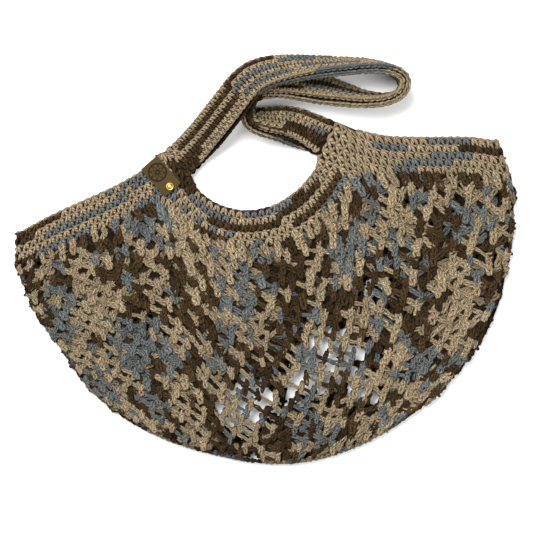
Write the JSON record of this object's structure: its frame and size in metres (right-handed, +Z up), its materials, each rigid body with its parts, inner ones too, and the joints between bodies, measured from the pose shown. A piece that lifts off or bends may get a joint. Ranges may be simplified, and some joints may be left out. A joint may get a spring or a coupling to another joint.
{
  "type": "mesh bag",
  "caption": "Crocheted mesh market bag in variegated cotton, lying flat with its long handles looped back over themselves and a riveted leather tag at its rim.",
  "frame": {"origin": "centre of the bounding box, on the surface that the bag lies on", "axes": "+X to the right across the bag's mouth, +Y from the bottom of the pouch to the handles, +Z up from the surface"},
  "size_m": [0.424, 0.3464, 0.0452],
  "materials": {
    "cotton_net": "matte",
    "cotton_band": "matte",
    "leather": "satin",
    "brass": "polished"
  },
  "bodies": {
    "root": {"net_body": "cotton_net", "rim_band": "cotton_band", "handle_front": "cotton_band", "handle_back": "cotton_band", "leather_tag": "leather", "rivet": "brass"}
  },
  "joints": []
}
